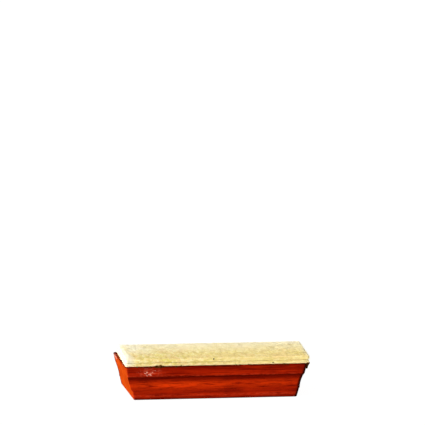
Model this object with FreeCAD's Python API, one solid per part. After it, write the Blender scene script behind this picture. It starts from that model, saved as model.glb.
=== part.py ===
import FreeCAD, Part
import math
import os

from FreeCAD import Vector

# A wooden chalkboard eraser that lies on its back, with the felt up.
# Millimetres. X runs along the eraser, Y across it and Z up.
# The origin is under the middle of the whole eraser, on the handle's flat back.

# Handle: one piece of wood with a finger cove along both long sides.
HANDLE_LENGTH = 152.0       # along the face that the felt is glued to
HANDLE_WIDTH = 50.8         # over the flanges and over the lips
HANDLE_HEIGHT = 27.6
END_SLOPE_INSET = 8.3       # how far each end leans in, from the felt side to the back
FLANGE_CORNER_RADIUS = 3.0  # upright corners of the blank, before its ends were cut sloping
LIP_HEIGHT = 7.6            # upright face below the cove
FLANGE_HEIGHT = 7.9         # upright face above the cove
COVE_DEPTH = 3.6
BACK_EDGE_RADIUS = 1.2      # long edges of the flat back
TOP_EDGE_RADIUS = 0.5       # long edges beside the felt, broken with abrasive paper

# Felt: a backing layer and a wiping layer, each on its own film of glue.
# Its ends are cut a little askew, so it lies further towards +X on the far, +Y side.
NEAR_FELT_OVERHANG = 1.6    # how far the felt passes the handle's +X end, at its -Y corner
FAR_FELT_OVERHANG = 4.0     # the same at its +Y corner
NEAR_FELT_SETBACK = 0.6     # how far it stays short of the handle's -X end, at its -Y corner
FAR_FELT_SETBACK = 3.0      # the same at its +Y corner
FELT_SIDE_INSET = 1.2       # how far it stays inside the handle along each long side
BACKING_FELT_THICKNESS = 2.8
WIPING_FELT_THICKNESS = 3.0
FELT_CORNER_RADIUS = 1.5
WIPING_EDGE_RADIUS = 1.2    # wear along the edge of the wiping face
GLUE_THICKNESS = 0.2
GLUE_MARGIN = 0.6           # how far each film stays inside the felt's outline

# Places that follow from the sizes.
TOTAL_LENGTH = HANDLE_LENGTH + FAR_FELT_OVERHANG
HANDLE_START = -TOTAL_LENGTH / 2
HANDLE_END = HANDLE_START + HANDLE_LENGTH
FELT_STARTS = (HANDLE_START + NEAR_FELT_SETBACK, HANDLE_START + FAR_FELT_SETBACK)
FELT_ENDS = (HANDLE_END + NEAR_FELT_OVERHANG, HANDLE_END + FAR_FELT_OVERHANG)
FELT_HALF_WIDTH = HANDLE_WIDTH / 2 - FELT_SIDE_INSET
HANDLE_GLUE_Z = HANDLE_HEIGHT
BACKING_FELT_Z = HANDLE_GLUE_Z + GLUE_THICKNESS
LAYER_GLUE_Z = BACKING_FELT_Z + BACKING_FELT_THICKNESS
WIPING_FELT_Z = LAYER_GLUE_Z + GLUE_THICKNESS


def rounded_corner(before, corner, after, radius):
    """Give the start, middle and end of an arc that rounds a square corner."""
    to_before = (before - corner).normalize()
    to_after = (after - corner).normalize()
    centre = corner + to_before * radius + to_after * radius
    middle = centre + (corner - centre).normalize() * radius
    return corner + to_before * radius, middle, corner + to_after * radius


def handle_side_edges():
    """Draw the handle's +Y outline from the back to the felt side, at X = 0."""
    side = HANDLE_WIDTH / 2
    flange_bottom = HANDLE_HEIGHT - FLANGE_HEIGHT
    cove_middle = (LIP_HEIGHT + flange_bottom) / 2
    back = Vector(0, side, 0)
    lip_edge = Vector(0, side, LIP_HEIGHT)
    cove_bottom = Vector(0, side - COVE_DEPTH, cove_middle)
    flange_edge = Vector(0, side, flange_bottom)
    top = Vector(0, side, HANDLE_HEIGHT)
    back_arc = rounded_corner(Vector(0, 0, 0), back, lip_edge, BACK_EDGE_RADIUS)
    top_arc = rounded_corner(flange_edge, top, Vector(0, 0, HANDLE_HEIGHT), TOP_EDGE_RADIUS)
    return [
        Part.LineSegment(Vector(0, 0, 0), back_arc[0]).toShape(),
        Part.Arc(*back_arc).toShape(),
        Part.LineSegment(back_arc[2], lip_edge).toShape(),
        Part.Arc(lip_edge, cove_bottom, flange_edge).toShape(),
        Part.LineSegment(flange_edge, top_arc[0]).toShape(),
        Part.Arc(*top_arc).toShape(),
        Part.LineSegment(top_arc[2], Vector(0, 0, HANDLE_HEIGHT)).toShape(),
    ]


def moulded_bar():
    """Extrude the moulded cross-section to the handle's full length."""
    right = Part.Wire(handle_side_edges())
    left = right.mirror(Vector(0, 0, 0), Vector(0, 1, 0))
    section = Part.Face(Part.Wire(Part.__sortEdges__(right.Edges + left.Edges)))
    section.translate(Vector(HANDLE_START, 0, 0))
    return section.extrude(Vector(HANDLE_LENGTH, 0, 0))


def sloped_block():
    """Make the block between the two sloping ends."""
    half_width = HANDLE_WIDTH / 2 + 1
    corners = [
        Vector(HANDLE_START + END_SLOPE_INSET, -half_width, 0),
        Vector(HANDLE_END - END_SLOPE_INSET, -half_width, 0),
        Vector(HANDLE_END, -half_width, HANDLE_HEIGHT),
        Vector(HANDLE_START, -half_width, HANDLE_HEIGHT),
    ]
    outline = Part.Face(Part.makePolygon(corners + corners[:1]))
    return outline.extrude(Vector(0, 2 * half_width, 0))


def slab(starts, ends, half_width, bottom, thickness, corner_radius):
    """Make a flat slab with rounded upright corners; starts and ends are (near, far) X places."""
    corners = [
        Vector(starts[0], -half_width, bottom),
        Vector(ends[0], -half_width, bottom),
        Vector(ends[1], half_width, bottom),
        Vector(starts[1], half_width, bottom),
    ]
    outline = Part.Face(Part.makePolygon(corners + corners[:1]))
    block = outline.extrude(Vector(0, 0, thickness))
    upright = [edge for edge in block.Edges if is_upright(edge)]
    return block.makeFillet(corner_radius, upright)


def is_upright(edge):
    """Say whether an edge is a straight line along Z."""
    first, last = edge.Vertexes[0].Point, edge.Vertexes[-1].Point
    return math.hypot(first.x - last.x, first.y - last.y) < 1e-6 and abs(first.z - last.z) > 1e-6


def wood_handle():
    """Mould the bar, round its upright corners and cut both ends sloping."""
    starts, ends = (HANDLE_START, HANDLE_START), (HANDLE_END, HANDLE_END)
    blank = slab(starts, ends, HANDLE_WIDTH / 2, 0, HANDLE_HEIGHT, FLANGE_CORNER_RADIUS)
    return moulded_bar().common(blank).common(sloped_block())


def glue_film(held_ends, bottom):
    """Make one film of glue, which stops a little short of what it holds."""
    starts = [start + GLUE_MARGIN for start in FELT_STARTS]
    ends = [end - GLUE_MARGIN for end in held_ends]
    half_width = FELT_HALF_WIDTH - GLUE_MARGIN
    return slab(starts, ends, half_width, bottom, GLUE_THICKNESS, FELT_CORNER_RADIUS)


def felt_layer(bottom, thickness):
    """Make one layer of felt with square faces."""
    return slab(FELT_STARTS, FELT_ENDS, FELT_HALF_WIDTH, bottom, thickness, FELT_CORNER_RADIUS)


def wiping_felt():
    """Make the upper layer, with its wiping face's edge worn round."""
    layer = felt_layer(WIPING_FELT_Z, WIPING_FELT_THICKNESS)
    face_height = WIPING_FELT_Z + WIPING_FELT_THICKNESS
    rim = [edge for edge in layer.Edges if edge.BoundBox.ZMin > face_height - 1e-6]
    return layer.makeFillet(WIPING_EDGE_RADIUS, rim)


NODES = {
    "wood_handle": wood_handle(),
    "handle_glue": glue_film((HANDLE_END, HANDLE_END), HANDLE_GLUE_Z),
    "backing_felt": felt_layer(BACKING_FELT_Z, BACKING_FELT_THICKNESS),
    "layer_glue": glue_film(FELT_ENDS, LAYER_GLUE_Z),
    "wiping_felt": wiping_felt(),
}

os.makedirs("parts", exist_ok=True)
for name, shape in NODES.items():
    shape.exportStep("parts/" + name + ".step")
    box = shape.BoundBox
    print(name, "valid", shape.isValid(), "solids", len(shape.Solids), "volume", round(shape.Volume))
    print("   x", round(box.XMin, 2), round(box.XMax, 2), "z", round(box.ZMin, 2), round(box.ZMax, 2))
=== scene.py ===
import itertools
import math

import bmesh
import bpy
import numpy as np
from mathutils import Matrix, Vector


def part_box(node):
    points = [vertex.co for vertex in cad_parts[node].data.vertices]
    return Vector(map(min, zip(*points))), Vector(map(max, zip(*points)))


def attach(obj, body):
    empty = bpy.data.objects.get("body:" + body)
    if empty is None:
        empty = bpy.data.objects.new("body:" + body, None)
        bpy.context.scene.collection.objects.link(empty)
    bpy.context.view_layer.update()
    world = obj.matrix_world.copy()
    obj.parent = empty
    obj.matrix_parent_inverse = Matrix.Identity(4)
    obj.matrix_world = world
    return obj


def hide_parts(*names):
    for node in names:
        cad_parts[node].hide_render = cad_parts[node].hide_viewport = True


# A wooden chalkboard eraser that lies on its back with the felt up, in metres.
# X runs along it, Y across it and Z up. -Y is its near side and -X its left end.

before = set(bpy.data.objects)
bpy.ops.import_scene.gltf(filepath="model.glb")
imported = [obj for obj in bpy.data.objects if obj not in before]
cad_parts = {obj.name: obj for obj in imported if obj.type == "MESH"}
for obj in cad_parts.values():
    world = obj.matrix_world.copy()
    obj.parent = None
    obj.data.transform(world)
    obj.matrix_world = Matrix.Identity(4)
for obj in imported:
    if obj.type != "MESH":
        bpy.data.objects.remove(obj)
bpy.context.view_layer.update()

MM = 0.001

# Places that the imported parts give.
HANDLE_LOW, HANDLE_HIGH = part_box("wood_handle")
BACKING_LOW, BACKING_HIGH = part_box("backing_felt")
WIPING_LOW, WIPING_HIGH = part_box("wiping_felt")
HANDLE_X = (HANDLE_LOW.x + HANDLE_HIGH.x) / 2
HANDLE_TOP = HANDLE_HIGH.z
HALF_LENGTH = (HANDLE_HIGH.x - HANDLE_LOW.x) / 2
HALF_WIDTH = (HANDLE_HIGH.y - HANDLE_LOW.y) / 2
FELT_SKEW = 1.2 * MM    # how far each end's far corner lies towards +X, its near corner towards -X
FELT_X = (WIPING_LOW.x + WIPING_HIGH.x) / 2
FELT_HALF_LENGTH = (WIPING_HIGH.x - WIPING_LOW.x) / 2 - FELT_SKEW
FELT_HALF_WIDTH = (WIPING_HIGH.y - WIPING_LOW.y) / 2

# The handle's moulded section, as in the part.
END_SLOPE_INSET = 8.3 * MM
LIP_HEIGHT = 7.6 * MM
FLANGE_BOTTOM = 19.7 * MM
COVE_DEPTH = 3.6 * MM
BACK_EDGE_RADIUS = 1.2 * MM
LIP_HIGHLIGHT_HEIGHT = 3.4 * MM    # where a painted highlight line runs along each lip

# How finely the skins are drawn.
LONG_POINTS = 290
SHORT_POINTS = 80
CORNER_POINTS = 7
PROFILE_STEP = 0.36 * MM

# How the felt is worn.
WIPING_ROUND = 1.3 * MM        # rounding of the wiping face's rim
BACKING_ROUND = 0.4 * MM       # rounding of the lower layer's upper rim
CROWN_FADE = 3 * MM            # how far inside its rim the wiping face swells fully
SEAM_NOTCH_DEPTH = 1.3 * MM    # how far the right end is drawn in where the layers meet
WIPING_EDGE_SEED = 41          # the random seed of the upper layer's ragged edge
BACKING_EDGE_SEED = 51
CROWN_BUMPS = [                # heights in millimetres, sizes in metres and seeds
    (0.25, (0.03, 0.02, 1), 31),
    (0.20, (0.009, 0.008, 1), 32),
    (0.20, (0.0038, 0.0036, 1), 33),
    (0.11, (0.0014, 0.0013, 1), 34),
]

# The loose wool: each tint's name and colour, how many fibres lie on the wiping face and
# how many stand out of the edges, and its random seed.
LOOSE_WOOL = [
    ("cream_wool", (0.88, 0.78, 0.42), 3000, 1500, 71),
    ("straw_wool", (0.76, 0.63, 0.24), 2400, 1200, 72),
    ("tan_wool", (0.66, 0.48, 0.22), 1100, 500, 73),
]

# Beads of dried glue along the near side, in millimetres: where along it, how far above
# the handle's top, how far outside the felt, and their half sizes. Two are crumbs that
# stick to the felt's cut side.
NEAR_BEADS = [
    (-68.1, 0.0, 0.7, (0.9, 0.6, 0.6)),
    (-64.8, -0.1, 0.7, (0.7, 0.6, 0.6)),
    (-56.8, -0.1, 0.8, (1.3, 0.7, 0.7)),
    (-51.6, 0.0, 0.7, (1.7, 0.9, 1.1)),
    (-48.4, 0.1, 0.8, (1.6, 1.0, 1.3)),
    (-45.9, -0.2, 0.7, (1.1, 0.8, 0.9)),
    (-35.4, -0.2, 0.8, (0.9, 0.6, 0.7)),
    (-31.3, 0.2, 0.5, (0.8, 0.6, 0.6)),
    (-25.4, 0.0, 0.7, (1.0, 0.6, 0.6)),
    (-4.4, 5.3, 0.0, (0.7, 0.4, 0.6)),
    (14.0, 0.1, 0.6, (1.0, 0.6, 0.6)),
    (17.4, 0.0, 0.7, (0.8, 0.6, 0.7)),
    (24.9, 0.2, 0.5, (0.7, 0.5, 0.5)),
    (45.0, 1.5, 0.1, (0.5, 0.4, 0.4)),
    (54.2, 0.0, 0.7, (1.6, 0.7, 0.7)),
    (57.2, -0.2, 0.8, (0.9, 0.6, 0.6)),
]

# Dark beads that fill the corner under the felt's overhang, painted shade made as geometry, in
# millimetres:
# how far past the handle's end, how far in from the felt's near side, how far above the handle's top,
# and their half sizes.
OVERHANG_SHADE_BEADS = [
    (-0.5, 1.2, -1.2, (1.2, 1.6, 3.4)),
    (0.1, 1.2, -0.4, (1.3, 1.7, 2.0)),
    (0.8, 1.4, 0.0, (1.3, 1.8, 0.9)),
    (0.0, 3.2, -0.2, (1.7, 2.2, 1.3)),
]

# The tree that the block was sawn from: where its pith runs and how far apart its rings are.
PITH_Y = 21 * MM
PITH_Z = -34 * MM
RING_SPACING = 2.7 * MM

# The chip in the handle's near flange, and the places and half sizes of the scuffed and
# the torn patches.
CHIP = Vector((-0.0593, -HALF_WIDTH, 0.0216))
SCUFFS = [
    ((-0.0568, -HALF_WIDTH, 0.0230), (0.0080, 0.0060, 0.0034)),
    ((HANDLE_LOW.x, 0.0150, 0.0262), (0.0040, 0.0080, 0.0024)),
]
TEARS = [
    (CHIP, (0.0028, 0.0028, 0.0020)),
    ((HANDLE_LOW.x, 0.0150, 0.0262), (0.0040, 0.0070, 0.0018)),
]

# Colours of the wood's long sides, then of its ends, as linear red, green and blue.
DARK_STREAK = (0.140, 0.0032, 0.0005)
LIGHT_STREAK = (0.30, 0.0102, 0.0009)
BRIGHT_FIBRE = (0.44, 0.021, 0.0013)
LATE_WOOD = (0.13, 0.0027, 0.0005)
DARK_BLOTCH = (0.10, 0.0022, 0.0005)
# painted highlight on the lower curve of each cove, where it faces up to the light
PAINTED_COVE_HIGHLIGHT = (0.62, 0.036, 0.0018)
# painted shade under each flange and along each lip's upper edge
PAINTED_COVE_AND_LIP_SHADE = (0.055, 0.0010, 0.0003)
DARK_PORE = (0.05, 0.0015, 0.0005)
DARK_END = (0.31, 0.030, 0.0020)
LIGHT_END = (0.42, 0.050, 0.0032)
LATE_WOOD_END = (0.26, 0.020, 0.0016)
DARK_PORE_END = (0.17, 0.010, 0.0012)

# Colours of the wood's wear and chip, of the painted highlights along its long edges and of the painted
# shade on its edges.
# wear on the upright edges, painted highlight on the flange's lower edge and the lip line
WORN_EDGE_AND_HIGHLIGHT = (0.46, 0.035, 0.010)
SCRATCHED_WOOD = (0.54, 0.10, 0.050)
BARE_WOOD = (0.80, 0.40, 0.29)
CHIP_PIT = (0.04, 0.001, 0.001)
# painted shade along the back's edges, below the felt and on the ends' upright edges
PAINTED_EDGE_SHADE_COLOUR = (0.026, 0.0018, 0.0007)

# Colours of the felt and of the glue.
STRAW = (0.84, 0.66, 0.23)
CREAM = (0.94, 0.79, 0.34)
PLAIN_CREAM = (0.95, 0.79, 0.34)
TAN = (0.92, 0.60, 0.30)
GREENISH = (0.70, 0.64, 0.10)
# the wool's pale tone with painted highlight on raised tufts, then its dark tones with painted shade in
# the hollows
TUFT_TONE_AND_HIGHLIGHT = (1.0, 0.93, 0.54)
HOLLOW_TONE_AND_SHADE = (0.56, 0.42, 0.11)
LINT_TONE_AND_SHADE = (0.46, 0.34, 0.10)
DARK_SPECK = (0.22, 0.13, 0.02)
# painted shade along the wiping face's near rim
PAINTED_RIM_SHADE = (0.72, 0.52, 0.22)
CUT_SIDE = (0.64, 0.50, 0.15)
# painted bounced light along the lower edge of the felt's cut side
PAINTED_BOUNCE_LIGHT = (1.0, 0.74, 0.36)
# a pale whitening, which at the felt's left end is painted highlight
WHITENING_AND_HIGHLIGHT = (0.93, 0.89, 0.74)
DARK_GLUE = (0.014, 0.0035, 0.0008)
AMBER_GLUE = (0.075, 0.024, 0.004)

# The light: a lamp low to the left and a little in front, in a white room.
KEY_DIRECTION = (-3.0, -0.9, 0.85)
KEY_DISTANCE = 6.0
KEY_SIZE = 2.2
KEY_BRIGHTNESS = 1.7
SKY_STRENGTH = 0.68
HORIZON_HEIGHT = 0.05    # the room is plain white up to here, where straight up is 1
SKY_HEIGHT = 0.25        # and from here up it has the sky's strength

# The plain white floor, which glows a little so that shadows on it stay faint.
FLOOR_GREY = 0.08
FLOOR_GLOW = 0.96
FLOOR_HALF_SIZE = 20.0

# The camera: a long lens, to the left of the eraser and a little above it.
CAMERA_LENS_MM = 800.0
SENSOR_MM = 36.0
CAMERA_DISTANCE = 7.6972
CAMERA_AZIMUTH = math.radians(-12.6)
CAMERA_ELEVATION = math.radians(14.8)
CAMERA_ROLL = math.radians(2.03)
AIM_RIGHT = -0.00682    # where the handle's middle is from the frame's middle, as shares of the frame
AIM_DOWN = 0.38047


# ---------------------------------------------------------------- noise and skins


def random_at(cell, seed):
    """Give a fixed random number from -1 to 1 for each whole-numbered cell."""
    mixed = cell[:, 0] * 73856093 ^ cell[:, 1] * 19349663 ^ cell[:, 2] * 83492791 ^ seed * 2654435761
    mixed = (mixed ^ (mixed >> 13)) * 1274126177
    return ((mixed >> 7) & 0xFFFF) / 32767.5 - 1


def smooth_noise(points, size, seed):
    """Give smooth noise from -1 to 1 whose bumps are about size metres, (x, y, z)."""
    scaled = points / np.array(size)
    cell = np.floor(scaled).astype(np.int64)
    part = scaled - cell
    ease = part * part * (3 - 2 * part)
    total = np.zeros(len(points))
    for corner in itertools.product((0, 1), repeat=3):
        weight = np.prod(np.where(corner, ease, 1 - ease), axis=1)
        total += weight * random_at(cell + np.array(corner), seed)
    return total


def ring(centre_x, half_length, half_width, radius, z):
    """Give a closed level outline: a rectangle with round corners, from its near left."""
    straight_x = half_length - radius
    straight_y = half_width - radius
    along = np.linspace(-1, 1, LONG_POINTS)
    across = np.linspace(-1, 1, SHORT_POINTS)
    turn = np.linspace(0, math.pi / 2, CORNER_POINTS + 2)[1:-1]

    def corner(side_x, side_y, start):
        x = side_x * straight_x + radius * np.cos(start + turn)
        return np.column_stack([x, side_y * straight_y + radius * np.sin(start + turn)])

    flat = np.vstack([
        np.column_stack([along * straight_x, np.full(LONG_POINTS, -half_width)]),
        corner(1, -1, -math.pi / 2),
        np.column_stack([np.full(SHORT_POINTS, half_length), across * straight_y]),
        corner(1, 1, 0),
        np.column_stack([-along * straight_x, np.full(LONG_POINTS, half_width)]),
        corner(-1, 1, math.pi / 2),
        np.column_stack([np.full(SHORT_POINTS, -half_length), -across * straight_y]),
        corner(-1, -1, math.pi),
    ])
    flat[:, 0] += centre_x
    return np.column_stack([flat, np.full(len(flat), z)])


def closing_rings(centre_x, half_length, half_width, radius, z, step):
    """Give the rings that shrink from an outline to its middle line, outermost first."""
    count = max(2, round(half_width / step))
    shares = np.arange(1, count + 1) / count
    return [
        ring(centre_x, half_length - half_width * t, half_width * (1 - t), radius * (1 - t), z)
        for t in shares
    ]


def new_piece(name, mesh, material):
    """Put a mesh with its material into the scene as a smooth object."""
    mesh.materials.append(material)
    mesh.shade_smooth()
    piece = bpy.data.objects.new(name, mesh)
    bpy.context.scene.collection.objects.link(piece)
    return piece


def skin_object(name, rings, material):
    """Join rings, from the lowest middle line to the highest, into one closed skin."""
    size = len(rings[0])
    vertices = np.vstack(rings)
    index = np.arange(size)
    following = (index + 1) % size
    quads = []
    for below in range(0, (len(rings) - 1) * size, size):
        above = below + size
        corners = [below + index, below + following, above + following, above + index]
        quads.append(np.column_stack(corners))
    mesh = bpy.data.meshes.new(name)
    mesh.from_pydata(vertices.tolist(), [], np.vstack(quads).tolist())
    work = bmesh.new()
    work.from_mesh(mesh)
    bmesh.ops.remove_doubles(work, verts=work.verts, dist=1e-7)
    bmesh.ops.recalc_face_normals(work, faces=work.faces)
    work.to_mesh(mesh)
    work.free()
    return new_piece(name, mesh, material)


def places_and_normals(piece):
    """Give a piece's vertex places and normals as two arrays."""
    mesh = piece.data
    places = np.empty(len(mesh.vertices) * 3)
    normals = np.empty(len(mesh.vertices) * 3)
    mesh.vertices.foreach_get("co", places)
    mesh.vertex_normals.foreach_get("vector", normals)
    return places.reshape(-1, 3), normals.reshape(-1, 3)


def set_places(piece, places):
    """Move a piece's vertices to these places."""
    piece.data.vertices.foreach_set("co", places.ravel())
    piece.data.update()


def fading(places, centre, size):
    """Give 1 at the centre, fading to 0 around it; size is the half sizes of the spot."""
    return np.exp(-np.sum(((places - np.array(centre)) / size) ** 2, axis=1))


def set_attribute(piece, name, values):
    """Store one number per vertex for the piece's material to read."""
    attribute = piece.data.attributes.new(name, "FLOAT", "POINT")
    attribute.data.foreach_set("value", values.astype(np.float32))


# ---------------------------------------------------------------- materials


class Recipe:
    """A material whose nodes are added by short calls."""

    def __init__(self, name):
        self.material = bpy.data.materials.new(name)
        self.material.use_nodes = True
        self.tree = self.material.node_tree
        self.shader = self.tree.nodes["Principled BSDF"]
        self.place = self.tree.nodes.new("ShaderNodeTexCoord").outputs["Object"]

    def put(self, socket, value):
        """Link a node's output to a socket, or set the socket to a plain value."""
        if isinstance(value, bpy.types.NodeSocket):
            self.tree.links.new(value, socket)
        elif isinstance(value, tuple) and len(value) == 3 and socket.type == "RGBA":
            socket.default_value = (*value, 1)
        else:
            socket.default_value = value

    def set(self, **values):
        """Set the shader's inputs: base_color is its Base Color."""
        for name, value in values.items():
            self.put(self.shader.inputs[name.replace("_", " ").title().replace("Ior", "IOR")], value)

    def math(self, operation, *values):
        """Work out one number from up to three."""
        node = self.tree.nodes.new("ShaderNodeMath")
        node.operation = operation
        for socket, value in zip(node.inputs, values):
            self.put(socket, value)
        return node.outputs[0]

    def times(self, first, second):
        """Multiply two numbers."""
        return self.math("MULTIPLY", first, second)

    def vector(self, operation, first, second):
        """Work out a vector, or for LENGTH and DISTANCE a number, from two vectors."""
        node = self.tree.nodes.new("ShaderNodeVectorMath")
        node.operation = operation
        self.put(node.inputs[0], first)
        self.put(node.inputs[1], second)
        return node.outputs["Value"] if operation in ("LENGTH", "DISTANCE") else node.outputs[0]

    def split(self, vector):
        """Give a vector's x, y and z."""
        node = self.tree.nodes.new("ShaderNodeSeparateXYZ")
        self.put(node.inputs[0], vector)
        return node.outputs

    def join(self, x, y, z):
        """Make a vector of three numbers."""
        node = self.tree.nodes.new("ShaderNodeCombineXYZ")
        for socket, value in zip(node.inputs, (x, y, z)):
            self.put(socket, value)
        return node.outputs[0]

    def noise(self, size, detail=3.0, roughness=0.55, distortion=0.0):
        """Noise from 0 to 1 whose bumps are about size metres, (x, y, z)."""
        scale = tuple(1 / s for s in size)
        node = self.tree.nodes.new("ShaderNodeTexNoise")
        self.put(node.inputs["Vector"], self.vector("MULTIPLY", self.place, scale))
        node.inputs["Scale"].default_value = 1.0
        node.inputs["Detail"].default_value = detail
        node.inputs["Roughness"].default_value = roughness
        node.inputs["Distortion"].default_value = distortion
        return node.outputs["Fac"]

    def rise(self, value, low, high):
        """Turn a value into a smooth step from 0 at low to 1 at high."""
        node = self.tree.nodes.new("ShaderNodeMapRange")
        node.interpolation_type = "SMOOTHSTEP"
        self.put(node.inputs["Value"], value)
        node.inputs["From Min"].default_value = low
        node.inputs["From Max"].default_value = high
        return node.outputs["Result"]

    def mix(self, share, first, second):
        """Mix two colours: share 0 gives the first and share 1 the second."""
        node = self.tree.nodes.new("ShaderNodeMix")
        node.data_type = "RGBA"
        self.put(node.inputs["Factor"], share)
        colours = [socket for socket in node.inputs if socket.type == "RGBA"]
        self.put(colours[0], first)
        self.put(colours[1], second)
        return [socket for socket in node.outputs if socket.type == "RGBA"][0]

    def tint(self, colour, share, strength, towards):
        """Mix a colour towards another, by a share from 0 to 1 times a strength."""
        return self.mix(self.times(share, strength), colour, towards)

    def attribute(self, name):
        """Read a number that set_attribute stored per vertex."""
        node = self.tree.nodes.new("ShaderNodeAttribute")
        node.attribute_name = name
        return node.outputs["Fac"]

    def bump(self, height, distance):
        """Raise the shading by height, from 0 to 1, times distance in metres."""
        node = self.tree.nodes.new("ShaderNodeBump")
        node.inputs["Distance"].default_value = distance
        self.put(node.inputs["Height"], height)
        self.put(self.shader.inputs["Normal"], node.outputs["Normal"])


def side_grain(wood, late_wood, fibres, blotches):
    """Colour the handle's long sides: deep red, streaked along the grain, with a painted highlight in
    the cove and painted shade under the flange and along the lip.
    """
    streaks = wood.noise((0.045, 0.0022, 0.0022), detail=3.0, roughness=0.6)
    fine = wood.noise((0.013, 0.0011, 0.0011), detail=3.0, roughness=0.6)
    pores = wood.rise(wood.noise((0.0045, 0.00033, 0.00033), detail=1.0), 0.64, 0.72)
    colour = wood.mix(wood.rise(streaks, 0.36, 0.64), DARK_STREAK, LIGHT_STREAK)
    colour = wood.tint(colour, wood.rise(fibres, 0.45, 0.70), 0.6, BRIGHT_FIBRE)
    colour = wood.tint(colour, late_wood, 0.3, LATE_WOOD)
    colour = wood.tint(colour, wood.rise(blotches, 0.5, 0.8), 0.45, DARK_BLOTCH)
    # painted highlight along the lower curve of each cove
    colour = wood.tint(colour, wood.attribute("cove_highlight"), wood.rise(fine, 0.3, 0.58), PAINTED_COVE_HIGHLIGHT)
    # painted shade under the flange and along the lip's upper edge
    colour = wood.mix(wood.attribute("cove_and_lip_shade"), colour, PAINTED_COVE_AND_LIP_SHADE)
    return wood.tint(colour, pores, 0.6, DARK_PORE), pores


def end_grain(wood, late_wood, blotches):
    """Colour the sawn ends: orange, with growth rings and open pores."""
    pores = wood.rise(wood.noise((0.0006, 0.0006, 0.0006), detail=1.0), 0.62, 0.72)
    colour = wood.mix(wood.rise(blotches, 0.25, 0.75), DARK_END, LIGHT_END)
    colour = wood.tint(colour, late_wood, 0.3, LATE_WOOD_END)
    return wood.tint(colour, pores, 0.4, DARK_PORE_END)


def chipped(wood, colour):
    """Add the scuffs, and the pale torn flakes around the chip's dark pit."""
    scuffed = wood.attribute("scuffed")
    scratches = wood.rise(wood.noise((0.0030, 0.0011, 0.0012), detail=4.0, roughness=0.75), 0.48, 0.62)
    colour = wood.tint(colour, wood.times(scratches, scuffed), 0.7, SCRATCHED_WOOD)
    scatter = wood.noise((0.0017, 0.0013, 0.0013), detail=2.0, roughness=0.6)
    crowded = wood.math("ADD", wood.times(wood.attribute("torn"), 0.19), wood.times(scuffed, 0.06))
    flakes = wood.times(wood.rise(wood.math("ADD", scatter, crowded), 0.68, 0.74), scuffed)
    colour = wood.tint(colour, flakes, 0.9, BARE_WOOD)
    pit_middle = tuple(CHIP + Vector((0.3 * MM, 0, -0.4 * MM)))
    from_pit = wood.vector("DISTANCE", wood.place, pit_middle)
    return wood.mix(wood.rise(from_pit, 0.7 * MM, 0.4 * MM), colour, CHIP_PIT)


def growth_rings(wood):
    """Give 1 in the dark late wood of each growth ring, around a pith below the block."""
    _, y, z = wood.split(wood.place)
    wander = wood.noise((0.06, 0.012, 0.012), detail=2.0)
    ring_y = wood.math("ADD", wood.math("SUBTRACT", y, PITH_Y), wood.times(wander, 0.006))
    ring_z = wood.math("ADD", wood.math("SUBTRACT", z, PITH_Z), wood.times(wander, 0.004))
    distance = wood.vector("LENGTH", wood.join(0.0, ring_y, ring_z), (0.0, 0.0, 0.0))
    wave = wood.math("SINE", wood.times(distance, 2 * math.pi / RING_SPACING))
    return wood.rise(wave, -0.2, 1.0)


def stained_wood():
    """Red-stained wood with a dull skin: growth rings, fibres, pores and worn edges, with painted
    highlights and painted shade along its edges and coves.
    """
    wood = Recipe("stained_wood")
    late_wood = growth_rings(wood)
    fibres = wood.noise((0.022, 0.0009, 0.0009), detail=4.0, roughness=0.65)
    blotches = wood.noise((0.02, 0.009, 0.009), detail=3.0)
    side, pores = side_grain(wood, late_wood, fibres, blotches)
    colour = wood.mix(wood.attribute("end_grain"), side, end_grain(wood, late_wood, blotches))
    ragged_wear = wood.noise((0.004, 0.0015, 0.0015), detail=4.0, roughness=0.7)
    # wear on the upright edges, painted highlight along the flange's lower edge and the lip line
    wear = wood.times(wood.attribute("wear_and_highlight"), wood.rise(ragged_wear, 0.4, 0.62))
    colour = wood.tint(colour, wear, 0.5, WORN_EDGE_AND_HIGHLIGHT)
    colour = chipped(wood, colour)
    # painted shade along the back's edges, below the felt and on the ends' upright edges
    colour = wood.mix(wood.attribute("painted_edge_shade"), colour, PAINTED_EDGE_SHADE_COLOUR)
    rough = wood.math("MULTIPLY_ADD", fibres, 0.22, 0.36)
    wood.set(base_color=colour, roughness=rough, specular_ior_level=0.0)
    wood.bump(wood.math("ADD", wood.times(fibres, 0.7), wood.times(pores, -0.5)), 0.12 * MM)
    return wood.material


def whitened(felt, x, y, colour):
    """Whiten a wool colour towards the far side and at both ends; at the left end, which faces the lamp,
    the whitening is painted highlight.
    """
    patches = felt.noise((0.009, 0.006, 0.006), detail=3.0, roughness=0.6)
    far = felt.times(felt.rise(y, -0.016, 0.026), 0.62)
    # painted highlight: the left end, which faces the lamp, is whitened most
    left = felt.times(felt.rise(x, -FELT_HALF_LENGTH + 9 * MM, -FELT_HALF_LENGTH + 2 * MM), 0.9)
    right = felt.times(felt.rise(x, FELT_HALF_LENGTH - 6 * MM, FELT_HALF_LENGTH - 1 * MM), 0.4)
    far_left = felt.times(felt.rise(x, -0.030, -0.065), felt.rise(y, -0.020, 0.012))
    far = felt.math("MAXIMUM", far, felt.times(far_left, 0.75))
    ends = felt.math("MAXIMUM", left, right)
    whitening = felt.math("MAXIMUM", far, ends)
    return felt.tint(colour, whitening, felt.rise(patches, 0.1, 0.55), WHITENING_AND_HIGHLIGHT)


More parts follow.
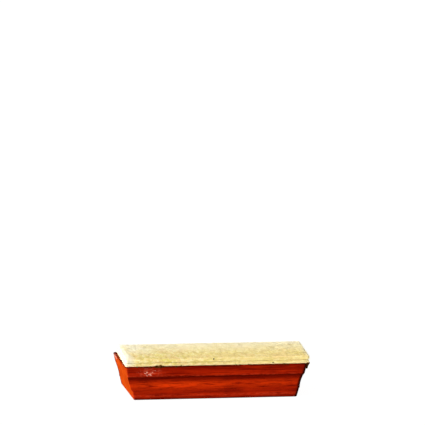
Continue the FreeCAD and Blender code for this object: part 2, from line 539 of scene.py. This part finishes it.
def tufts(felt, x, y, mottle, lint):
    """Colour matted wool: patches of straw, tan and green, pale tufts with painted highlight, dark
    hollows with painted shade, and specks.
    """
    patches = felt.noise((0.018, 0.016, 0.006), detail=3.0, distortion=0.6)
    tint = felt.noise((0.010, 0.010, 0.004), detail=3.0, distortion=0.5)
    near_left = felt.times(felt.rise(y, -0.004, -0.022), felt.rise(x, 0.010, -0.030))
    colour = felt.mix(felt.rise(patches, 0.40, 0.60), STRAW, CREAM)
    colour = felt.tint(colour, felt.rise(tint, 0.52, 0.62), 0.5, TAN)
    green = felt.math("MULTIPLY_ADD", near_left, 0.5, 0.35)
    colour = felt.tint(colour, felt.rise(tint, 0.50, 0.38), green, GREENISH)
    # the wool's mottled tone, with painted highlight on the raised tufts and painted shade in the
    # hollows, which follow the bump
    colour = felt.tint(colour, felt.rise(mottle, 0.51, 0.58), 0.8, TUFT_TONE_AND_HIGHLIGHT)
    colour = felt.tint(colour, felt.rise(mottle, 0.47, 0.38), 0.7, HOLLOW_TONE_AND_SHADE)
    colour = felt.tint(colour, felt.rise(lint, 0.46, 0.30), 0.5, LINT_TONE_AND_SHADE)
    specks = felt.times(felt.rise(lint, 0.43, 0.34), near_left)
    colour = felt.tint(colour, specks, 0.7, DARK_SPECK)
    far_calm = felt.times(felt.rise(y, -0.012, 0.022), 0.30)
    right_calm = felt.times(felt.rise(x, -0.035, 0.015), 0.30)
    calm = felt.math("ADD", felt.math("ADD", far_calm, right_calm), 0.10)
    return felt.mix(calm, colour, PLAIN_CREAM)


def felt_edges(felt, x, y, z, colour):
    """Colour the near rim of the wiping face with painted shade, and the cut side with a painted band of
    bounced light along its lower edge.
    """
    cut_side = felt.attribute("cut_side")
    rim_height = felt.rise(z, WIPING_HIGH.z - 1.8 * MM, WIPING_HIGH.z - 0.6 * MM)
    # painted shade on the near rim, carried over the rim's rounding towards the right
    pressed = felt.times(rim_height, felt.rise(x, -0.03, 0.01))
    facing = felt.math("MAXIMUM", felt.math("SUBTRACT", 1.0, cut_side), pressed)
    rim = felt.times(felt.rise(y, -0.013, -0.0215), facing)
    colour = felt.tint(colour, rim, 0.34, PAINTED_RIM_SHADE)
    above_edge = felt.rise(z, BACKING_LOW.z + 0.3 * MM, BACKING_LOW.z + 1.8 * MM)
    colour = felt.tint(colour, felt.times(cut_side, above_edge), 0.30, CUT_SIDE)
    # painted bounced light along the lower edge of the cut side
    bounce_lit_edge = felt.times(cut_side, felt.math("SUBTRACT", 1.0, above_edge))
    return felt.tint(colour, bounce_lit_edge, 0.8, PAINTED_BOUNCE_LIGHT)


def wool_felt():
    """Matted cream wool, whitened towards its far side and ends with painted highlight at its left end,
    with painted shade on its near rim and in its hollows, whose tufts and lint stand up a little.
    """
    felt = Recipe("wool_felt")
    x, y, z = felt.split(felt.place)
    mottle = felt.noise((0.0042, 0.0075, 0.0020), detail=4.0, roughness=0.65)
    lint = felt.noise((0.0010, 0.0014, 0.0006), detail=3.0, roughness=0.7, distortion=1.2)
    colour = whitened(felt, x, y, tufts(felt, x, y, mottle, lint))
    colour = felt_edges(felt, x, y, z, colour)
    felt.set(base_color=colour, roughness=0.95, specular_ior_level=0.0)
    felt.bump(felt.math("ADD", felt.times(mottle, 0.6), felt.times(lint, 0.5)), 1.3 * MM)
    return felt.material


def dried_glue():
    """Dark amber glue with a dull skin."""
    glue = Recipe("dried_glue")
    cloud = glue.noise((0.003, 0.003, 0.002), detail=3.0)
    colour = glue.mix(glue.rise(cloud, 0.3, 0.7), DARK_GLUE, AMBER_GLUE)
    glue.set(base_color=colour, roughness=0.5, specular_ior_level=0.0)
    glue.bump(cloud, 0.2 * MM)
    return glue.material


def plain_fibre(name, colour):
    """One tint of loose wool, whitened where the felt is, with the same painted highlight at its left
    end.
    """
    fibre = Recipe(name)
    x, y, z = fibre.split(fibre.place)
    fibre.set(base_color=whitened(fibre, x, y, colour), roughness=0.9, specular_ior_level=0.0)
    return fibre.material


# ---------------------------------------------------------------- the handle


def handle_profile():
    """Give the handle's side from the back's edge up to the felt, as (half width, z) rows."""
    angle = np.linspace(0, math.pi / 2, 9)
    back_edge = np.column_stack([
        HALF_WIDTH - BACK_EDGE_RADIUS + BACK_EDGE_RADIUS * np.sin(angle),
        BACK_EDGE_RADIUS - BACK_EDGE_RADIUS * np.cos(angle),
    ])
    half_chord = (FLANGE_BOTTOM - LIP_HEIGHT) / 2
    cove_radius = (half_chord ** 2 + COVE_DEPTH ** 2) / (2 * COVE_DEPTH)
    cove_y = HALF_WIDTH - COVE_DEPTH + cove_radius
    cove_z = LIP_HEIGHT + half_chord
    reach = math.asin(half_chord / cove_radius)
    sweep = np.linspace(-reach, reach, 60)
    cove = np.column_stack([cove_y - cove_radius * np.cos(sweep), cove_z + cove_radius * np.sin(sweep)])
    top = np.array([[HALF_WIDTH, HANDLE_TOP], [HALF_WIDTH - 1.5 * MM, HANDLE_TOP]])
    return eased(np.vstack([back_edge, cove, top]), PROFILE_STEP, 0.22 * MM)


def eased(points, step, radius):
    """Space a line's points evenly and round its corners off by about radius."""
    fine = step / 4
    lengths = np.concatenate([[0], np.cumsum(np.linalg.norm(np.diff(points, axis=0), axis=1))])
    at = np.arange(0, lengths[-1], fine)
    even = np.column_stack([np.interp(at, lengths, points[:, i]) for i in range(2)])
    reach = round(3 * radius / fine)
    weights = np.exp(-0.5 * (np.arange(-reach, reach + 1) * fine / radius) ** 2)
    weights /= weights.sum()
    padded = np.pad(even, ((reach, reach), (0, 0)), mode="edge")
    smooth = np.column_stack([np.convolve(padded[:, i], weights, mode="valid") for i in range(2)])
    smooth[0] = points[0]
    return smooth[::4]


def corner_radius(z):
    """Give the upright corner's radius: wide beside the felt, small lower down."""
    flange = np.clip((z - FLANGE_BOTTOM) / (HANDLE_TOP - FLANGE_BOTTOM), 0, 1)
    lip = np.clip(z / LIP_HEIGHT, 0, 1) * (z <= LIP_HEIGHT)
    return (0.6 + 2.4 * flange + 2.0 * lip) * MM


def sloped_half_length(z):
    """Give half the handle's length, which shrinks from the felt towards the back."""
    return HALF_LENGTH - END_SLOPE_INSET * (1 - z / HANDLE_TOP)


def end_easing(z):
    """Give how far the end face draws in as it nears the back and the felt."""
    near_back = max(0.0, 1 - z / (0.8 * MM))
    near_felt = max(0.0, 1 - (HANDLE_TOP - z) / (0.5 * MM))
    return 0.8 * MM * near_back ** 2 + 0.4 * MM * near_felt ** 2


def wood_handle(material):
    """Loft the handle from level rings, then wear it as use does."""
    levels = []
    for half_width, z in handle_profile():
        half_length = sloped_half_length(z) - end_easing(z)
        levels.append((half_length, half_width, corner_radius(z), z))
    rings = [ring(HANDLE_X, *level) for level in levels]
    bottom = closing_rings(HANDLE_X, *levels[0], step=6 * MM)[::-1]
    top = closing_rings(HANDLE_X, *levels[-1], step=8 * MM)
    piece = skin_object("stained_wood_handle", bottom + rings + top, material)
    places, normals = places_and_normals(piece)
    set_attribute(piece, "end_grain", np.clip((np.abs(normals[:, 0]) - 0.45) / 0.35, 0, 1))
    # wear on the upright edges, painted highlight along the flange's lower edge and the lip line
    set_attribute(piece, "wear_and_highlight", edge_wear_and_highlight(places))
    # painted shade along the back's edges, below the felt and on the ends' upright edges
    set_attribute(piece, "painted_edge_shade", edge_shade_share(places, normals))
    set_attribute(piece, "scuffed", patch_share(places, SCUFFS))
    set_attribute(piece, "torn", patch_share(places, TEARS))
    # painted highlight along the lower curve of each cove
    cove_highlight = cove_band(places, middle=0.33, width=0.24) * cove_highlight_along(places)
    # painted shade under the flange and along the lip's upper edge
    cove_and_lip_shade = 0.74 * cove_band(places, middle=0.94, width=0.26) + lip_edge_shade(places)
    set_attribute(piece, "cove_highlight", cove_highlight)
    set_attribute(piece, "cove_and_lip_shade", cove_and_lip_shade)
    set_places(piece, worn_places(places, normals))
    return piece


def edge_wear_and_highlight(places):
    """Give 1 on the flange's lower edge, a line along the lip and the upright edges, 0 elsewhere:
    painted highlights on the first two, wear on the upright edges.
    """
    away = 0.9 * MM
    z = places[:, 2]
    outer = np.abs(places[:, 1]) > HALF_WIDTH - 1.2 * MM
    levels = np.array([LIP_HIGHLIGHT_HEIGHT, FLANGE_BOTTOM])
    long_edge = np.exp(-(np.min(np.abs(z[:, None] - levels), axis=1) / away) ** 2) * outer
    from_end = sloped_half_length(z) - np.abs(places[:, 0] - HANDLE_X)
    near_end = np.exp(-(from_end / away) ** 2)
    rim = near_end * (np.abs(places[:, 1]) > HALF_WIDTH - 1.5 * MM)
    return np.clip(long_edge + rim, 0, 1)


def edge_shade_share(places, normals):
    """Give the share of painted shade on the long edges at the back and below the felt, on the right
    end's upright edges and along the left end's far edge and top.
    """
    z = places[:, 2]
    on_side = np.abs(normals[:, 0]) < 0.5
    back = 0.9 * np.exp(-(z / (1.2 * MM)) ** 2) * on_side
    top = 0.5 * np.exp(-((HANDLE_TOP - z) / (1.2 * MM)) ** 2) * on_side
    top *= 1 + 0.9 * smooth_noise(places, (0.004, 0.004, 0.004), 18)
    to_right_end = HANDLE_X + sloped_half_length(z) - places[:, 0]
    half_widths, heights = handle_profile().T
    from_side = np.maximum(0, np.interp(z, heights, half_widths) - np.abs(places[:, 1]))
    from_side += 0.5 * MM * smooth_noise(places, (0.004, 0.004, 0.004), 17)
    past_corner = np.maximum(0, from_side - corner_radius(z))
    right = np.exp(-(to_right_end / (2.5 * MM)) ** 6) * np.exp(-(past_corner / (0.9 * MM)) ** 2)
    at_left_end = np.clip((-normals[:, 0] - 0.4) / 0.4, 0, 1)
    far_left = 0.75 * at_left_end * (places[:, 1] > 0) * np.exp(-(from_side / (4.2 * MM)) ** 3)
    below_felt = 0.5 * at_left_end * np.exp(-((HANDLE_TOP - z) / (0.9 * MM)) ** 2)
    return np.clip(back + top + right + far_left + below_felt, 0, 1)


def patch_share(places, patches):
    """Give 1 in the middle of each patch of the handle above its cove, fading to 0 around it."""
    share = sum(fading(places, place, size) for place, size in patches)
    return np.clip(share, 0, 1) * np.clip((places[:, 2] - FLANGE_BOTTOM) / (0.5 * MM), 0, 1)


def cove_highlight_along(places):
    """Give how strong the painted highlight in the cove is along the handle: most left of its middle."""
    return 0.48 + 0.38 * np.exp(-((places[:, 0] + 0.032) / 0.028) ** 2)


def cove_band(places, middle, width):
    """Give 1 along a band of each finger cove; its middle and width are shares of the cove."""
    height = FLANGE_BOTTOM - LIP_HEIGHT
    across = ((places[:, 2] - LIP_HEIGHT) / height - middle) / width
    inside = np.clip((HALF_WIDTH - np.abs(places[:, 1])) / (0.5 * MM), 0, 1)
    return np.exp(-across ** 2) * inside * (np.abs(places[:, 1]) > HALF_WIDTH - COVE_DEPTH - 1 * MM)


def lip_edge_shade(places):
    """Give the share of painted shade along each lip's upper edge."""
    return 0.24 * np.exp(-((places[:, 2] - LIP_HEIGHT) / (1.2 * MM)) ** 2)


def edge_dents(places, chance):
    """Give how deep small dents have pressed the handle's long edges in."""
    depth = np.zeros(len(places))
    for _ in range(70):
        side = chance.choice((-1, 1))
        edge = chance.choice((LIP_HEIGHT, FLANGE_BOTTOM, 0.6 * MM, HANDLE_TOP))
        z = edge + chance.normal(0, 0.4 * MM)
        x = HANDLE_X + chance.uniform(-1, 1) * HALF_LENGTH
        size = np.array([chance.uniform(0.7, 2.6), 1.0, chance.uniform(0.5, 0.9)]) * MM
        dent = fading(places, (x, side * HALF_WIDTH, z), size)
        depth += chance.uniform(0.06, 0.28) * MM * dent
    return depth


def side_dents(places, chance):
    """Give how deep shallow dents have pressed the flanges and lips in."""
    depth = np.zeros(len(places))
    for _ in range(26):
        side = chance.choice((-1, 1))
        x = HANDLE_X + chance.uniform(-0.95, 0.95) * HALF_LENGTH
        z = chance.choice((chance.uniform(1.5, 7.0), chance.uniform(20, 26))) * MM
        size = np.array([chance.uniform(0.8, 3.0), 1.5, chance.uniform(0.5, 1.0)]) * MM
        dent = fading(places, (x, side * HALF_WIDTH, z), size)
        depth += chance.uniform(0.04, 0.14) * MM * dent
    return depth


def worn_places(places, normals):
    """Add the cutter's ripples, raised grain, dents and the chip to the handle."""
    on_side = np.abs(normals[:, 0]) < 0.5
    lift = 0.07 * MM * smooth_noise(places, (0.045, 0.03, 0.02), 11)
    lift += 0.035 * MM * smooth_noise(places, (0.02, 0.0011, 0.0011), 12) * on_side
    lift += 0.02 * MM * smooth_noise(places, (0.002, 0.002, 0.002), 13)
    wander = 2 * smooth_noise(places, (0.03, 0.05, 0.05), 14)
    ripple = np.sin(places[:, 0] * 2 * math.pi / (2.3 * MM) + wander)
    lift += 0.008 * MM * ripple * on_side
    chance = np.random.default_rng(21)
    lift -= edge_dents(places, chance)
    lift -= side_dents(places, chance)
    lift -= 0.45 * MM * fading(places, CHIP, np.array([0.91, 0.70, 0.70]) * MM)
    lift *= np.clip(places[:, 2] / (0.4 * MM), 0, 1)
    lift[places[:, 2] > HANDLE_TOP - 0.05 * MM] = 0
    return places + normals * lift[:, None]


# ---------------------------------------------------------------- the felt


def crown(places):
    """Give the wiping face's swell: soft hollows and tufts, fading at its rim."""
    flat = places * (1, 1, 0)
    swell = sum(height * smooth_noise(flat, size, seed) for height, size, seed in CROWN_BUMPS)
    inward = np.clip(rim_distance(places) / CROWN_FADE, 0.15, 1)
    return (0.35 + swell) * MM * inward


def round_off(share):
    """Give how far the rim's quarter circle falls away: 0 at share 0 and all of it at share 1."""
    return WIPING_ROUND * (1 - np.sqrt(1 - share ** 2))


def ragged(places, seed):
    """Give how far the felt's cut edge stands out or in, in metres."""
    out = 0.28 * smooth_noise(places, (0.02, 0.02, 0.03), seed)
    out += 0.22 * smooth_noise(places, (0.005, 0.005, 0.003), seed + 1)
    out += 0.12 * smooth_noise(places, (0.0016, 0.0016, 0.0012), seed + 2)
    return out * MM


def felt_layer(name, low, high, top_round, material, seed):
    """Make a felt slab with soft edges, and give the shifts that make its cut sides ragged."""
    centre_x = (low.x + high.x) / 2
    half_length = (high.x - low.x) / 2 - FELT_SKEW
    half_width = (high.y - low.y) / 2
    thickness = high.z - low.z
    corner = 1.4 * MM
    bottom_round = 0.35 * MM
    levels = [(0.35 * MM, 0.0), (0.1 * MM, bottom_round * 0.35), (0.0, bottom_round)]
    side_top = thickness - top_round
    steps = max(3, round((side_top - bottom_round) / (0.4 * MM)))
    levels += [(0.0, z) for z in np.linspace(bottom_round, side_top, steps + 1)[1:]]
    for angle in np.linspace(0, math.pi / 2, 7)[1:]:
        levels.append((top_round * (1 - math.cos(angle)), side_top + top_round * math.sin(angle)))
    rings = [ring(centre_x, half_length - d, half_width - d, corner, low.z + z) for d, z in levels]
    inset = levels[0][0]
    bottom = closing_rings(centre_x, half_length - inset, half_width - inset, corner, low.z, 3 * MM)
    inset = levels[-1][0]
    top = closing_rings(centre_x, half_length - inset, half_width - inset, corner, high.z, 0.55 * MM)
    piece = skin_object(name, bottom[::-1] + rings + top, material)
    places, normals = places_and_normals(piece)
    upright = 1 - np.abs(normals[:, 2])
    set_attribute(piece, "cut_side", np.clip((upright - 0.2) / 0.45, 0, 1))
    out = normals * [1, 1, 0] * (ragged(places, seed) * np.clip(upright * 1.5, 0, 1))[:, None]
    out[:, 0] -= seam_notch(places)
    return piece, places, normals, out


def wiping_felt(material):
    """Make the upper layer, crowned and tufted on top."""
    piece, places, normals, out = felt_layer(
        "wiping_felt_pad", WIPING_LOW, WIPING_HIGH, WIPING_ROUND, material, WIPING_EDGE_SEED
    )
    rise = crown(places) * np.clip(normals[:, 2], 0, 1)
    places = places + out
    places[:, 2] += rise
    set_places(piece, skewed(places))
    return piece


def backing_felt(material):
    """Make the lower layer, whose cut edge shows below the upper one."""
    piece, places, _, out = felt_layer(
        "backing_felt_pad", BACKING_LOW, BACKING_HIGH, BACKING_ROUND, material, BACKING_EDGE_SEED
    )
    set_places(piece, skewed(places + out))
    return piece


def seam_notch(places):
    """Give how far the right end is drawn in at the seam, where both layers' edges are worn round."""
    near_end = np.clip((places[:, 0] - FELT_X - FELT_HALF_LENGTH + 2 * MM) / (2 * MM), 0, 1)
    seam = (BACKING_HIGH.z + WIPING_LOW.z) / 2
    return SEAM_NOTCH_DEPTH * near_end * np.exp(-((places[:, 2] - seam) / (0.8 * MM)) ** 2)


def skewed(places):
    """Shift places along X in step with Y, as the felt's skewed ends are."""
    places = places.copy()
    places[:, 0] += FELT_SKEW * places[:, 1] / FELT_HALF_WIDTH
    return places


def rim_distance(places):
    """Give how far each place is inside the felt's outline."""
    along = FELT_HALF_LENGTH - np.abs(places[:, 0] - FELT_X)
    across = FELT_HALF_WIDTH - np.abs(places[:, 1])
    return np.maximum(0, np.minimum(along, across))


# ---------------------------------------------------------------- loose wool


def tubes(name, paths, radius, material):
    """Make one piece of many thin closed tubes; paths is (fibre, point, xyz)."""
    fibres, points, _ = paths.shape
    sides = 3
    tangent = np.gradient(paths, axis=1)
    tangent /= np.linalg.norm(tangent, axis=2, keepdims=True)
    across = np.cross(tangent, np.array([0.31, 0.52, 0.80]))
    across /= np.linalg.norm(across, axis=2, keepdims=True)
    other = np.cross(tangent, across)
    taper = np.sin(np.linspace(0.12, math.pi - 0.12, points)) ** 0.4
    reach = radius[:, None] * taper[None, :]
    turns = 2 * math.pi * np.arange(sides) / sides
    offset = (
        across[:, :, None] * np.cos(turns)[None, None, :, None]
        + other[:, :, None] * np.sin(turns)[None, None, :, None]
    )
    vertices = paths[:, :, None] + offset * reach[:, :, None, None]
    quads = []
    for point, side in itertools.product(range(points - 1), range(sides)):
        near, far = point * sides, (point + 1) * sides
        ahead = (side + 1) % sides
        quads.append((near + side, near + ahead, far + ahead, far + side))
    last = (points - 1) * sides
    first = np.arange(fibres)[:, None] * points * sides
    walls = (first[:, :, None] + np.array(quads)).reshape(-1, 4)
    starts = (first + np.array([2, 1, 0])).reshape(-1, 3)
    ends = (first + last + np.array([0, 1, 2])).reshape(-1, 3)
    faces = walls.tolist() + starts.tolist() + ends.tolist()
    mesh = bpy.data.meshes.new(name)
    mesh.from_pydata(vertices.reshape(-1, 3).tolist(), [], faces)
    return new_piece(name, mesh, material)


def curled_paths(starts, headings, lengths, chance, curl):
    """Grow one wandering path from each start; headings are unit vectors."""
    points = 6
    paths = [starts]
    heading = headings.copy()
    for _ in range(points - 1):
        heading += chance.normal(0, curl, heading.shape)
        heading /= np.linalg.norm(heading, axis=1, keepdims=True)
        paths.append(paths[-1] + heading * (lengths / (points - 1))[:, None])
    return np.stack(paths, axis=1)


def face_fibres(count, chance):
    """Lay curled fibres flat on the wiping face."""
    x = FELT_X + chance.uniform(-1, 1, count) * (FELT_HALF_LENGTH - 0.8 * MM)
    y = chance.uniform(-1, 1, count) * (FELT_HALF_WIDTH - 0.8 * MM)
    turn = chance.uniform(0, 2 * math.pi, count)
    headings = np.column_stack([np.cos(turn), np.sin(turn), np.zeros(count)])
    starts = np.column_stack([x, y, np.zeros(count)])
    lengths = chance.uniform(1.5, 5.5, count) * MM
    paths = curled_paths(starts, headings, lengths, chance, (0.45, 0.45, 0))
    arch = np.sin(np.linspace(0, math.pi, paths.shape[1]))
    lift = arch[None, :] * chance.uniform(0, 0.22, count)[:, None] * MM
    flat = paths.reshape(-1, 3)
    outward = 1 - np.clip(rim_distance(flat) / WIPING_ROUND, 0, 1)
    height = (crown(flat) - round_off(outward)).reshape(count, -1)
    paths[:, :, 2] = WIPING_HIGH.z + height + lift
    return paths


def edge_fibres(count, chance):
    """Let short fibres stand out of the cut sides and the worn rim."""
    place = chance.uniform(0, 1, count)
    whole = 2 * (FELT_HALF_LENGTH + FELT_HALF_WIDTH)
    on_long = place < 2 * FELT_HALF_LENGTH / whole
    side = chance.choice((-1, 1), count)
    x = np.where(on_long, chance.uniform(-1, 1, count) * FELT_HALF_LENGTH, side * FELT_HALF_LENGTH)
    y = np.where(on_long, side * FELT_HALF_WIDTH, chance.uniform(-1, 1, count) * FELT_HALF_WIDTH)
    z = chance.uniform(BACKING_LOW.z + 0.3 * MM, WIPING_HIGH.z - 0.2 * MM, count)
    outward = np.column_stack([side * ~on_long, side * on_long, np.zeros(count)])
    rounding = np.clip((z - WIPING_HIGH.z + WIPING_ROUND) / WIPING_ROUND, 0, 1)
    inset = round_off(rounding) + 0.15 * MM
    starts = np.column_stack([x + FELT_X, y, z]) - outward * inset[:, None]
    starts += outward * ragged(starts, WIPING_EDGE_SEED)[:, None]
    headings = outward * chance.uniform(0.25, 1.0, count)[:, None] + chance.normal(0, 0.75, (count, 3))
    headings[:, 2] += 0.5 * rounding
    headings /= np.linalg.norm(headings, axis=1, keepdims=True)
    return curled_paths(starts, headings, chance.uniform(0.6, 2.2, count) * MM, chance, 0.4)


def loose_wool(name, colour, face_count, edge_count, seed):
    """Make one tint of the loose wool."""
    chance = np.random.default_rng(seed)
    paths = np.vstack([face_fibres(face_count, chance), edge_fibres(edge_count, chance)])
    paths = skewed(paths.reshape(-1, 3)).reshape(paths.shape)
    radius = chance.uniform(0.022, 0.045, len(paths)) * MM
    return tubes(name, paths, radius, plain_fibre(name, colour))


# ---------------------------------------------------------------- glue


def glue_film(name, low, high, material, seed, out_by, right_skew):
    """Make one film of glue, skewed at its left end as the felt is; its edge stands about out_by out."""
    start, end = low.x + FELT_SKEW, high.x - right_skew
    centre_x = (start + end) / 2
    half_length = (end - start) / 2
    half_width = (high.y - low.y) / 2
    corner = 1.2 * MM
    middle = (low.z + high.z) / 2
    outlines = [(0.08 * MM, low.z), (0.0, middle), (0.08 * MM, high.z)]
    rings = [ring(centre_x, half_length - d, half_width - d, corner, z) for d, z in outlines]
    bottom = closing_rings(centre_x, half_length, half_width, corner, low.z, 8 * MM)[::-1]
    top = closing_rings(centre_x, half_length, half_width, corner, high.z, 8 * MM)
    piece = skin_object(name, bottom + rings + top, material)
    places, normals = places_and_normals(piece)
    upright = np.clip(1.4 * (1 - np.abs(normals[:, 2])), 0, 1)
    wander = out_by + 0.25 * MM * smooth_noise(places, (0.007, 0.007, 1), seed)
    wander += 0.18 * MM * smooth_noise(places, (0.0018, 0.0018, 1), seed + 1)
    places = places + normals * [1, 1, 0] * (wander * upright)[:, None]
    skew = np.interp(places[:, 0], (start, end), (FELT_SKEW, right_skew))
    places[:, 0] += skew * places[:, 1] / half_width
    set_places(piece, places)
    return piece


def glue_films(material):
    """Make both films of glue; the upper one stops short of the notch at the seam's right end."""
    low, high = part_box("handle_glue")
    handle_film = glue_film(
        "handle_glue_film", low, high, material, seed=61, out_by=0.38 * MM, right_skew=0.0
    )
    low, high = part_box("layer_glue")
    high.x -= SEAM_NOTCH_DEPTH
    layer_film = glue_film(
        "layer_glue_film", low, high, material, seed=65, out_by=-0.45 * MM, right_skew=FELT_SKEW
    )
    return handle_film, layer_film


def glue_and_shade_beads(material):
    """Make the beads of dried glue that squeezed out beside the felt, and the dark beads below its
    overhang that stand in for its shade.
    """
    chance = np.random.default_rng(81)
    beads = []
    for along, above, outside, size in NEAR_BEADS:
        place = (along * MM, -FELT_HALF_WIDTH - outside * MM, HANDLE_TOP + above * MM)
        beads.append((place, np.array(size) * MM))
    for _ in range(7):
        x = HANDLE_X + chance.uniform(-0.9, 0.9) * HALF_LENGTH
        place = (x, FELT_HALF_WIDTH + 0.35 * MM, HANDLE_TOP + 0.2 * MM)
        beads.append((place, np.array([chance.uniform(0.5, 1.6), 0.5, 0.4]) * MM))
    # dark beads below the felt's overhang at the right end: painted shade made as geometry
    for y in np.linspace(-0.9, 0.93, 17):
        z = HANDLE_TOP - chance.uniform(0.1, 0.4) * MM
        place = (HANDLE_HIGH.x + 0.35 * MM, y * FELT_HALF_WIDTH, z)
        beads.append((place, np.array([chance.uniform(0.7, 1.3), chance.uniform(1.4, 2.4), 0.8]) * MM))
    # dark beads in the near corner under the overhang: painted shade made as geometry
    for out, along, above, size in OVERHANG_SHADE_BEADS:
        place = (HANDLE_HIGH.x + out * MM, -FELT_HALF_WIDTH + along * MM, HANDLE_TOP + above * MM)
        beads.append((place, np.array(size) * MM))
    work = bmesh.new()
    for place, size in beads:
        stretched = Matrix.Translation(place) @ Matrix.Diagonal((*size, 1))
        bmesh.ops.create_icosphere(work, subdivisions=3, radius=1, matrix=stretched)
    mesh = bpy.data.meshes.new("glue_and_shade_beads")
    work.to_mesh(mesh)
    work.free()
    piece = new_piece("glue_and_shade_beads", mesh, material)
    places, normals = places_and_normals(piece)
    lumps = 0.22 * MM * smooth_noise(places, (0.0009, 0.0009, 0.0009), 82)
    set_places(piece, places + normals * lumps[:, None])
    return piece


# ---------------------------------------------------------------- the scene


def put_on_root(piece, slot, *nodes):
    """Let a piece ride on the eraser and hide the parts it stands for; slot is not used."""
    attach(piece, "root")
    if nodes:
        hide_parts(*nodes)


def floor():
    """Make the plain white floor."""
    material = bpy.data.materials.new("floor")
    material.use_nodes = True
    inputs = material.node_tree.nodes["Principled BSDF"].inputs
    inputs["Base Color"].default_value = (FLOOR_GREY, FLOOR_GREY, FLOOR_GREY, 1)
    inputs["Roughness"].default_value = 0.9
    inputs["Specular IOR Level"].default_value = 0.0
    inputs["Emission Color"].default_value = (1, 1, 1, 1)
    inputs["Emission Strength"].default_value = FLOOR_GLOW
    half = FLOOR_HALF_SIZE
    corners = [(-half, -half, 0), (half, -half, 0), (half, half, 0), (-half, half, 0)]
    mesh = bpy.data.meshes.new("floor")
    mesh.from_pydata(corners, [], [(0, 1, 2, 3)])
    new_piece("floor", mesh, material)


def key_light():
    """Put a square lamp to the left; brightness 1 lights a facing white card as a white room does."""
    lamp = bpy.data.lights.new("key", "AREA")
    lamp.size = KEY_SIZE
    lamp.energy = KEY_BRIGHTNESS * (math.pi * KEY_DISTANCE) ** 2
    holder = bpy.data.objects.new("key", lamp)
    away = Vector(KEY_DIRECTION).normalized()
    holder.location = away * KEY_DISTANCE
    holder.rotation_euler = away.to_track_quat("Z", "Y").to_euler()
    bpy.context.scene.collection.objects.link(holder)


def white_room():
    """Surround the scene with soft light from above and plain white at and below the horizon."""
    world = bpy.data.worlds.new("room")
    world.use_nodes = True
    nodes, links = world.node_tree.nodes, world.node_tree.links
    split = nodes.new("ShaderNodeSeparateXYZ")
    links.new(nodes.new("ShaderNodeTexCoord").outputs["Generated"], split.inputs[0])
    strength = nodes.new("ShaderNodeMapRange")
    links.new(split.outputs["Z"], strength.inputs["Value"])
    strength.inputs["From Min"].default_value = HORIZON_HEIGHT
    strength.inputs["From Max"].default_value = SKY_HEIGHT
    strength.inputs["To Min"].default_value = 1.0
    strength.inputs["To Max"].default_value = SKY_STRENGTH
    background = nodes["Background"]
    background.inputs["Color"].default_value = (1, 1, 1, 1)
    links.new(strength.outputs["Result"], background.inputs["Strength"])
    bpy.context.scene.world = world


def light_the_scene():
    """Light the eraser strongly from its left end, softly from everywhere else."""
    white_room()
    key_light()
    bpy.context.scene.view_settings.view_transform = "Standard"


def make_camera():
    """Aim the camera so that the eraser lies low in the frame, as it does in a wide layout."""
    data = bpy.data.cameras.new("camera")
    data.lens = CAMERA_LENS_MM
    data.sensor_width = SENSOR_MM
    data.clip_end = 100.0
    camera = bpy.data.objects.new("camera", data)
    bpy.context.scene.collection.objects.link(camera)
    bpy.context.scene.camera = camera
    back = Vector((
        math.sin(CAMERA_AZIMUTH) * math.cos(CAMERA_ELEVATION),
        -math.cos(CAMERA_AZIMUTH) * math.cos(CAMERA_ELEVATION),
        math.sin(CAMERA_ELEVATION),
    ))
    middle = Vector((HANDLE_X, 0, HANDLE_TOP / 2))
    look = (-back).to_track_quat("-Z", "Y").to_matrix()
    roll = Matrix.Rotation(CAMERA_ROLL, 3, "Z")
    pitch = Matrix.Rotation(math.atan(AIM_DOWN * SENSOR_MM / CAMERA_LENS_MM), 3, "X")
    yaw = Matrix.Rotation(math.atan(AIM_RIGHT * SENSOR_MM / CAMERA_LENS_MM), 3, "Y")
    turned = (look @ roll @ pitch @ yaw).to_4x4()
    camera.matrix_world = Matrix.Translation(middle + back * CAMERA_DISTANCE) @ turned


def build():
    """Make every piece of the eraser."""
    felt = wool_felt()
    glue = dried_glue()
    put_on_root(wood_handle(stained_wood()), "stained_wood", "wood_handle")
    handle_film, layer_film = glue_films(glue)
    put_on_root(handle_film, "dried_glue", "handle_glue")
    put_on_root(layer_film, "dried_glue", "layer_glue")
    put_on_root(glue_and_shade_beads(glue), "dried_glue")
    backing = backing_felt(felt)
    wiping = wiping_felt(felt)
    put_on_root(backing, "wool_felt", "backing_felt")
    put_on_root(wiping, "wool_felt", "wiping_felt")
    for tint in LOOSE_WOOL:
        put_on_root(loose_wool(*tint), "wool_felt")


build()
floor()
light_the_scene()
make_camera()
